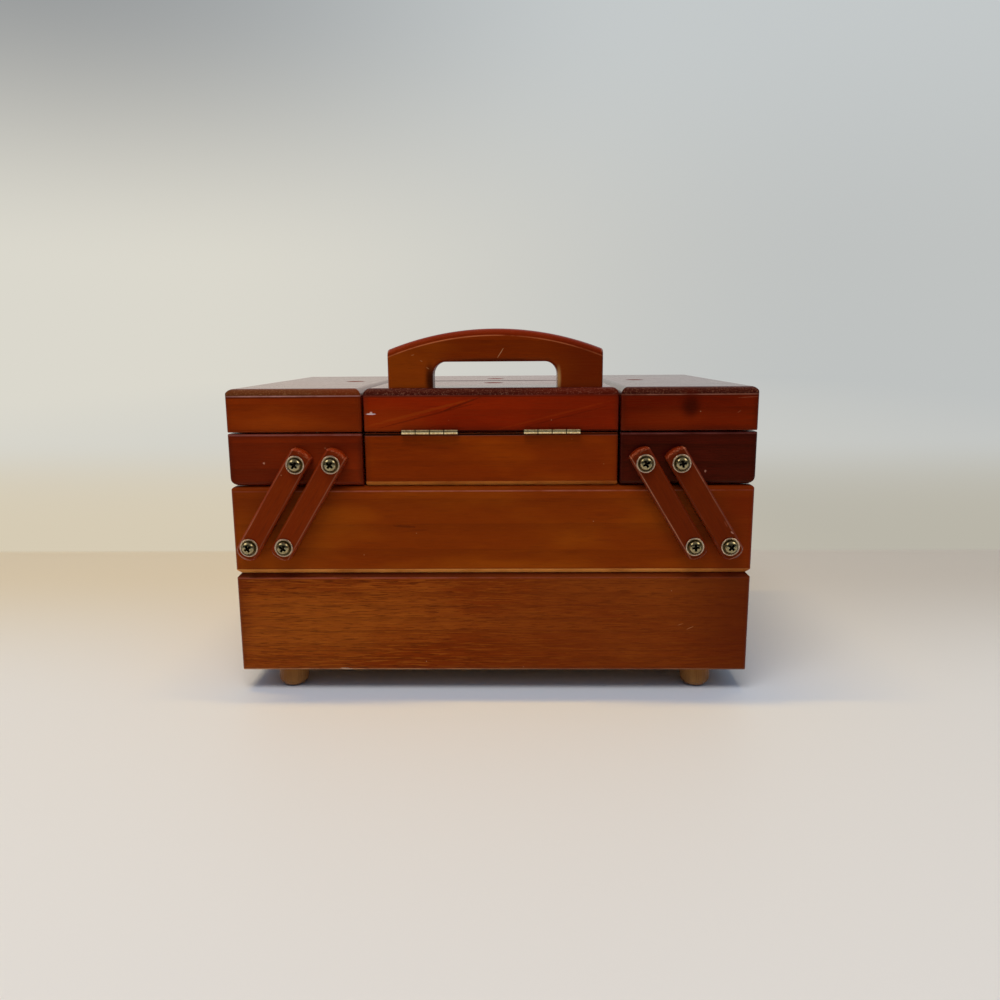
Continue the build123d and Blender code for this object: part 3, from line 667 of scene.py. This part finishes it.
# the hinges of the centre lids run along X, those of the side lids along Y
def paintHinges():
    half = hingeLook["lengthMm"] / 2 * mm
    sets = {
        "centre": (["front_lid_hinge", "rear_lid_hinge", "centre_hinge"], 0),
        "side": ([f"{side}_{part}_hinge" for side in sides for part in ("lid", "tray")], 1),
    }
    for label, (hinges, axis) in sets.items():
        names = [name for name in frame["nodes"] if name.startswith(tuple(hinges))]
        reach = max(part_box(name)[1][axis] for name in names)
        paint(names, hingeBrass(f"lacqueredBrass_{label}", axis, reach - half))


paint([name for name in frame["nodes"] if name.endswith(("screws", "washers"))], metals["head"])
paintHinges()


# a closed form turned about Z from its outline, as (radius, height) pairs in millimetres
def turnOutline(outline, steps):
    form = bmesh.new()
    points = [form.verts.new((radius * mm, 0, height * mm)) for radius, height in outline]
    edges = [form.edges.new(pair) for pair in zip(points, points[1:])]
    bmesh.ops.spin(
        form, geom=points + edges, cent=(0, 0, 0), axis=(0, 0, 1), angle=2 * math.pi, steps=steps)
    bmesh.ops.remove_doubles(form, verts=form.verts, dist=0.001 * mm)
    bmesh.ops.recalc_face_normals(form, faces=form.faces)
    return form


# a mesh of one material from a finished form
def meshOf(name, form, material):
    mesh = bpy.data.meshes.new(name)
    form.to_mesh(mesh)
    form.free()
    mesh.materials.append(material)
    return mesh


# a wedge-sided cross for cutting a recess, its mouth at height top
def crossWedge(span, slot, top, depth):
    taper, outMm = 0.45, 1  # how narrow it is at the bottom, and how far it stands out of the head
    form = bmesh.new()
    for turn in (0, 90):
        made = bmesh.ops.create_cube(form, size=1, matrix=Matrix.Rotation(math.radians(turn), 4, "Z")
                                     @ Matrix.Translation((0, 0, (top - depth / 2 + outMm / 2) * mm))
                                     @ Matrix.Diagonal((span * mm, slot * mm, (depth + outMm) * mm, 1)))
        for vert in made["verts"]:
            if vert.co.z < (top - depth / 2) * mm:
                vert.co.x *= taper
                vert.co.y *= taper
    return form


# the recess is its span, its slot width and its depth. The powers shape the dome: under 1 it is
# fuller than half a ball
screwLook = {
    "rimMm": 4.25, "easeMm": 0.15, "skirtMm": 0.7, "riseMm": 3.0, "domePowers": (0.8, 0.85),
    "recessMm": (6.4, 2.0, 2.2), "steps": 48, "arcs": 12, "seed": 7}


def screwHeadMesh():
    look = screwLook
    rim, ease, skirt, rise = look["rimMm"], look["easeMm"], look["skirtMm"], look["riseMm"]
    across, up = look["domePowers"]
    outline = [(0, 0), (rim - ease, 0), (rim, ease), (rim, skirt)]
    for index in range(1, look["arcs"]):
        angle = math.pi / 2 * index / look["arcs"]
        outline.append((rim * math.cos(angle) ** across, skirt + (rise - skirt) * math.sin(angle) ** up))
    outline.append((0, rise))
    return recessed(outline, look["steps"], rise, look["recessMm"])


# a turned head with a cross sunk in its top, whose faces take the cutter's near black metal as painted
# shade
def recessed(outline, steps, rise, recess):
    sharpDeg = 35
    blank = turnOutline(outline, steps)
    head = bpy.data.objects.new("headBlank", meshOf("screwHead", blank, metals["head"]))
    wedge = crossWedge(recess[0], recess[1], rise, recess[2])
    cutter = bpy.data.objects.new("recessCutter", meshOf("recess", wedge, metals["dark"]))
    for piece in (head, cutter):
        bpy.context.scene.collection.objects.link(piece)
    carve = head.modifiers.new("recess", "BOOLEAN")
    carve.operation = "DIFFERENCE"
    carve.object = cutter
    carve.use_self = True
    carve.material_mode = "TRANSFER"
    bpy.context.view_layer.update()
    mesh = bpy.data.meshes.new_from_object(head.evaluated_get(bpy.context.evaluated_depsgraph_get()))
    bpy.data.objects.remove(head)
    bpy.data.objects.remove(cutter)
    mesh.shade_smooth()
    mesh.set_sharp_from_angle(angle=math.radians(sharpDeg))
    return mesh


# slightly dished, with a rolled rim that is rubbed bright
washerLook = {
    "innerMm": 2.2, "outerMm": 6.2, "thickMm": 1.0, "edgeMm": 0.45, "dishMm": 0.25, "wornMm": 1.0,
    "roll": 0.7,  # of half a turn
    "steps": 56, "arcs": 8, "sharpDeg": 40}


def washerMesh():
    look = washerLook
    inner, outer, thick, ease = look["innerMm"], look["outerMm"], look["thickMm"], look["edgeMm"]
    outline = [(inner, thick - look["dishMm"]), (inner, 0), (outer, 0), (outer, thick - ease)]
    for index in range(1, look["arcs"] + 1):
        angle = math.pi * look["roll"] * index / look["arcs"]
        outline.append((outer - ease + ease * math.cos(angle), thick - ease + ease * math.sin(angle)))
    outline += [(outer - look["wornMm"], thick - look["dishMm"]), (inner, thick - look["dishMm"])]
    mesh = meshOf("washer", turnOutline(outline, look["steps"]), metals["dull"])
    mesh.materials.append(metals["worn"])
    for face in mesh.polygons:
        if face.center.xy.length > (outer - look["wornMm"]) * mm:
            face.material_index = 1
    mesh.shade_smooth()
    mesh.set_sharp_from_angle(angle=math.radians(look["sharpDeg"]))
    return mesh


# copies of a mesh joined into one piece, one copy for each placement
def joinCopies(name, mesh, placements):
    form = bmesh.new()
    for placement in placements:
        start = len(form.verts)
        form.from_mesh(mesh)
        form.verts.ensure_lookup_table()
        bmesh.ops.transform(form, matrix=placement, verts=form.verts[start:])
    joined = bpy.data.meshes.new(name)
    form.to_mesh(joined)
    form.free()
    for material in mesh.materials:
        joined.materials.append(material)
    piece = bpy.data.objects.new(name, joined)
    bpy.context.scene.collection.objects.link(piece)
    return piece


faceOut = abs(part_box("base_front_board")[0][1])  # metres from the middle to the front and rear faces


# standing off the front and the rear boards at a pivot, turned at random as screws end up
def facePlacements(pivots, standMm, chance):
    placed = []
    for pivot in pivots:
        for front in (True, False):
            stand = (faceOut + standMm * mm) * (-1 if front else 1)
            seat = Matrix.Translation((pivot.x * mm, stand, pivot.z * mm))
            tip = Matrix.Rotation(math.radians(90 if front else -90), 4, "X")
            spin = Matrix.Rotation(chance.uniform(0, math.pi / 2), 4, "Z")
            placed.append(seat @ tip @ spin)
    return placed


# pan-head screws on washers: lower pivots stay with the box, upper ones go with their tray
def fitPivots():
    chance = random.Random(screwLook["seed"])
    headSeat = abs(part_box("lower_pivot_washers")[0][1]) / mm - faceOut / mm
    head, ring = screwHeadMesh(), washerMesh()
    uppers = {side: [pivotsOf(side)[pair][1] for pair in ("outer", "inner")] for side in sides}
    lowers = [pivotsOf(side)[pair][0] for side in sides for pair in ("outer", "inner")]
    groups = [("lower_pivot", lowers, "box")]
    groups += [(f"{side}_tray_pivot", uppers[side], f"{side}_tray") for side in sides]
    for node, pivots, body in groups:
        for kind, mesh, stand, slot in (
            ("screws", head, headSeat, "screw_metal"),
            ("washers", ring, headSeat - washerLook["thickMm"], "washer_metal"),
        ):
            piece = joinCopies(f"{node}_{kind}_fine", mesh, facePlacements(pivots, stand, chance))
            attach(piece, body)
            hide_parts(f"{node}_{kind}")


fitPivots()


# countersunk screws in the leaves: those of a lid face down, those of a box face up
def fitHingeScrews():
    look = hingeLook
    chance = random.Random(look["seed"])
    rim, rise = look["headMm"], look["headRiseMm"]
    outline = [(0, 0), (rim, 0), (rim - look["headEaseMm"], rise), (0, rise)]
    # the crosses of these heads are sunk only a few hundredths of a millimetre, so their dark is painted
    # shade
    head = recessed(outline, look["headSteps"], rise, (*look["recessMm"], look["recessDepth"] * rise))
    hinges = [("front_lid_hinge", "front_lid", "box", 0, -1), ("rear_lid_hinge", "rear_lid", "box", 0, 1)]
    for side, sign in sides.items():
        hinges.append((f"{side}_lid_hinge", f"{side}_lid", f"{side}_tray", 1, sign))
    for joint, lid, carrier, axis, sign in hinges:
        pin = Vector(joints[joint]["pos_m"])
        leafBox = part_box(f"{lid}_hinge_leaves")
        middle = leafBox[1][axis] - look["lengthMm"] / 2 * mm
        leafGap = leafBox[0][2] - pin.z if leafBox[0][2] > pin.z else look["leafGapMm"] * mm
        for body, up in ((lid, False), (carrier, True)):
            placements = []
            for hinge in (-1, 1):
                for end in (-1, 1):
                    spot = pin.copy()
                    spot[axis] = hinge * middle + end * look["screwApartMm"] / 2 * mm
                    spot[1 - axis] -= sign * look["screwInMm"] * mm
                    spot.z += -leafGap if up else leafGap
                    tip = Matrix.Rotation(0 if up else math.pi, 4, "X")
                    placements.append(Matrix.Translation(spot) @ tip
                                      @ Matrix.Rotation(chance.uniform(0, math.pi / 2), 4, "Z"))
            piece = joinCopies(f"{joint}_{'lower' if up else 'upper'}_leaf_screws", head, placements)
            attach(piece, body)


fitHingeScrews()
print("metal done")


# painted board, eggshell: pale, and it keeps the shadow, with painted light and shade behind the box.
# Pairs of colours are left and right
floorLook = {
    "near": "#e2dccc",
    "back": ("#dccaa6", "#c8bda8"),  # behind the box: painted warm light bounced from the wall on the left, painted shade on the right
    "backFromM": (-0.15, 0.2),
    "backSidesM": (-0.2, 0.2),
    "roughness": 0.5,
    "specularLevel": 0.3,
    "sizeM": 12.0,
    "wallLineMm": 297,  # the floor meets the wall this far behind the middle of the box
    "lineMm": 14,
    "wallLow": ("#d6cbb4", "#b9b5a8"),  # just above the line
    "lowSidesM": (-0.5, 0.5),
    "highSidesM": (-2.5, 2.5),
    "wallTopM": 1.6,
    "fadeM": (0.9, 2.0),  # past the reach of the lamps the floor fades into the wall colour
}

# what stands behind: a wall, warm on the left and cool on the right, with painted shade darkening it high
# on the left. Sides, depths and heights are parts of a direction that is 1 long
skyLook = {
    "wall": ("#dbd8cd", "#bfc2c1"),
    "wallSides": (-0.4, 0.4),
    "wallDepths": (-0.3, 0.5),  # what is mirrored turns from the room into the wall here
    # higher up the wall: painted shade darkens it on the left
    "high": ("#939698", "#c4c9ca"),
    "highSides": (-0.5, 0.15),
    "highHeights": (0.08, 0.38),
    "dim": "#30302e",  # the room on the viewer's side, that the front boards mirror
    "ceiling": "#8f8c86",
    "ceilingHeights": (0.3, 0.7),
    "fill": "#9ec4ff",
    "fillStrength": (0.04, 0.56),  # level with the floor and overhead
    "fillHeights": (0.05, 0.6),
    "lampGlow": "#fff4e2",  # the two lamps overhead as metal mirrors them
    "lampReach": (0.45, 0.6),
    "glowStrength": 3.0,
}


# left to right blend of two colours, from one place across to another
def sideBlend(tree, across, pair, span):
    share = addNode(tree, "MapRange", smooth,
                    {"Value": across, "From Min": span[0], "From Max": span[1]})
    mix = addNode(tree, "Mix", inColour, {0: share.outputs[0], 6: linear(pair[0]), 7: linear(pair[1])})
    return mix.outputs[2]


# a floor that the camera alone sees turn into the foot of the wall behind the box and far out
def layFloor():
    look = floorLook
    mesh = bpy.data.meshes.new("floor")
    half = look["sizeM"] / 2
    corners = [(-half, -half, 0), (half, -half, 0), (half, half, 0), (-half, half, 0)]
    mesh.from_pydata(corners, [], [(0, 1, 2, 3)])
    floor = bpy.data.objects.new("floor", mesh)
    bpy.context.scene.collection.objects.link(floor)
    material, tree, shader = newMaterial("paintedBoard", {
        "Roughness": look["roughness"], "Specular IOR Level": look["specularLevel"]})
    place = addNode(tree, "TexCoord").outputs["Object"]
    parts = addNode(tree, "SeparateXYZ", None, {0: place}).outputs
    behind = addNode(tree, "MapRange", smooth, {
        "Value": parts[1], "From Min": look["backFromM"][0], "From Max": look["backFromM"][1]})
    paintMix = addNode(tree, "Mix", inColour, {
        0: behind.outputs[0], 6: linear(look["near"]),
        7: sideBlend(tree, parts[0], look["back"], look["backSidesM"])})
    tree.links.new(paintMix.outputs[2], shader.inputs["Base Color"])
    low = sideBlend(tree, parts[0], look["wallLow"], look["lowSidesM"])
    high = sideBlend(tree, parts[0], skyLook["wall"], look["highSidesM"])
    away = addNode(tree, "MapRange", {"interpolation_type": "SMOOTHERSTEP"}, {
        "Value": parts[1], "From Min": look["wallLineMm"] * mm, "From Max": look["wallTopM"]})
    wall = addNode(tree, "Mix", inColour, {0: away.outputs[0], 6: low, 7: high})
    glow = addNode(tree, "Emission", None, {"Color": wall.outputs[2]})
    past = addNode(tree, "MapRange", smooth, {
        "Value": parts[1], "From Min": (look["wallLineMm"] - look["lineMm"]) * mm,
        "From Max": look["wallLineMm"] * mm})
    reach = addNode(tree, "VectorMath", {"operation": "LENGTH"}, {0: place})
    far = addNode(tree, "MapRange", smooth, {
        "Value": reach.outputs["Value"], "From Min": look["fadeM"][0], "From Max": look["fadeM"][1]})
    covered = addNode(tree, "Math", {"operation": "MAXIMUM"}, {0: past.outputs[0], 1: far.outputs[0]})
    seen = addNode(tree, "LightPath").outputs["Is Camera Ray"]
    share = addNode(tree, "Math", {"operation": "MULTIPLY"}, {0: covered.outputs[0], 1: seen})
    both = addNode(tree, "MixShader", None,
                   {0: share.outputs[0], 1: shader.outputs[0], 2: glow.outputs[0]})
    tree.links.new(both.outputs[0], tree.nodes["Material Output"].inputs["Surface"])
    mesh.materials.append(material)


layFloor()

# two warm strip lamps overhead and a soft cool ceiling light just in front of the box
lamps = {
    "leftStrip": {
        "at": (-0.5, 0.025, 2.0), "aim": (-0.5, 0, 0), "sizeM": (1.0, 0.06),
        "watts": 13.0, "colour": "#ffda74"},
    "rightStrip": {
        "at": (0.25, 0.025, 2.0), "aim": (0.25, 0, 0), "sizeM": (0.5, 0.06),
        "watts": 5.0, "colour": "#ffdc80"},
    "ceiling": {
        "at": (-0.25, -1.0, 2.1), "aim": (0, 0, 0.1), "sizeM": (1.4, 0.8),
        "watts": 29.0, "colour": "#e8ecff"},
}
for lampName, lamp in lamps.items():
    data = bpy.data.lights.new(lampName, "AREA")
    data.shape = "RECTANGLE"
    data.size, data.size_y = lamp["sizeM"]
    data.energy = lamp["watts"]
    data.color = linear(lamp["colour"])[:3]
    light = bpy.data.objects.new(lampName, data)
    light.location = lamp["at"]
    light.rotation_euler = (Vector(lamp["aim"]) - Vector(lamp["at"])).to_track_quat("-Z", "Y").to_euler()
    light.visible_glossy = False
    bpy.context.scene.collection.objects.link(light)


# the camera sees the wall, metal and varnish mirror the room, and a faint blue fill does the rest
def hangSky():
    look = skyLook
    world = bpy.data.worlds.new("studio")
    bpy.context.scene.world = world
    world.use_nodes = True
    tree = world.node_tree
    background = tree.nodes["Background"]
    way = addNode(tree, "TexCoord").outputs["Generated"]
    parts = addNode(tree, "SeparateXYZ", None, {0: way}).outputs
    wall = sideBlend(tree, parts[0], look["wall"], look["wallSides"])
    high = sideBlend(tree, parts[0], look["high"], look["highSides"])
    lift = addNode(tree, "MapRange", smooth, {
        "Value": parts[2], "From Min": look["highHeights"][0], "From Max": look["highHeights"][1]})
    seen = addNode(tree, "Mix", inColour, {0: lift.outputs[0], 6: wall, 7: high})
    behind = addNode(tree, "MapRange", smooth, {
        "Value": parts[1], "From Min": look["wallDepths"][0], "From Max": look["wallDepths"][1]})
    above = addNode(tree, "MapRange", smooth, {
        "Value": parts[2], "From Min": look["ceilingHeights"][0], "From Max": look["ceilingHeights"][1]})
    room = addNode(tree, "Mix", inColour,
                   {0: above.outputs[0], 6: linear(look["dim"]), 7: linear(look["ceiling"])})
    around = addNode(tree, "Mix", inColour,
                     {0: behind.outputs[0], 6: room.outputs[2], 7: seen.outputs[2]})
    aside = addNode(tree, "Math", {"operation": "ABSOLUTE"}, {0: parts[0]})
    nearest = addNode(tree, "Math", {"operation": "MINIMUM"}, {0: aside.outputs[0], 1: parts[2]})
    lampMask = addNode(tree, "MapRange", smooth, {
        "Value": nearest.outputs[0], "From Min": look["lampReach"][0], "From Max": look["lampReach"][1]})
    glow = addNode(tree, "VectorMath", {"operation": "SCALE"}, {
        0: linear(look["lampGlow"])[:3], "Scale": look["glowStrength"]})
    mirrored = addNode(tree, "Mix", inColour,
                       {0: lampMask.outputs[0], 6: around.outputs[2], 7: glow.outputs[0]})
    rays = addNode(tree, "LightPath").outputs
    share = addNode(tree, "MapRange", smooth, {
        "Value": parts[2], "From Min": look["fillHeights"][0], "From Max": look["fillHeights"][1],
        "To Min": look["fillStrength"][0], "To Max": look["fillStrength"][1]})
    fill = addNode(tree, "Mix", inColour, {
        0: share.outputs[0], 6: (0, 0, 0, 1), 7: linear(look["fill"])})
    shiny = addNode(tree, "Math", {"operation": "MAXIMUM"},
                    {0: rays["Is Glossy Ray"], 1: rays["Is Transmission Ray"]})
    other = addNode(tree, "Mix", inColour,
                    {0: shiny.outputs[0], 6: fill.outputs[2], 7: mirrored.outputs[2]})
    final = addNode(tree, "Mix", inColour,
                    {0: rays["Is Camera Ray"], 6: other.outputs[2], 7: seen.outputs[2]})
    tree.links.new(final.outputs[2], background.inputs["Color"])


hangSky()

camera = {
    "atMm": (15.7, -660.1, 240.9),
    "yawDeg": 1.04,
    "pitchDeg": 10.67,
    "rollDeg": -0.39,
    "lensMm": 29.37,
    "sensorMm": 36,
}
eyeData = bpy.data.cameras.new("camera")
eyeData.lens = camera["lensMm"]
eyeData.sensor_width = camera["sensorMm"]
eye = bpy.data.objects.new("camera", eyeData)
turn = (Matrix.Rotation(math.radians(camera["yawDeg"]), 4, "Z")
        @ Matrix.Rotation(math.radians(90 - camera["pitchDeg"]), 4, "X")
        @ Matrix.Rotation(math.radians(camera["rollDeg"]), 4, "Z"))
eye.matrix_world = Matrix.Translation(Vector(camera["atMm"]) * mm) @ turn
bpy.context.scene.collection.objects.link(eye)
bpy.context.scene.camera = eye
bpy.context.scene.view_settings.view_transform = "Standard"
print("stage done")
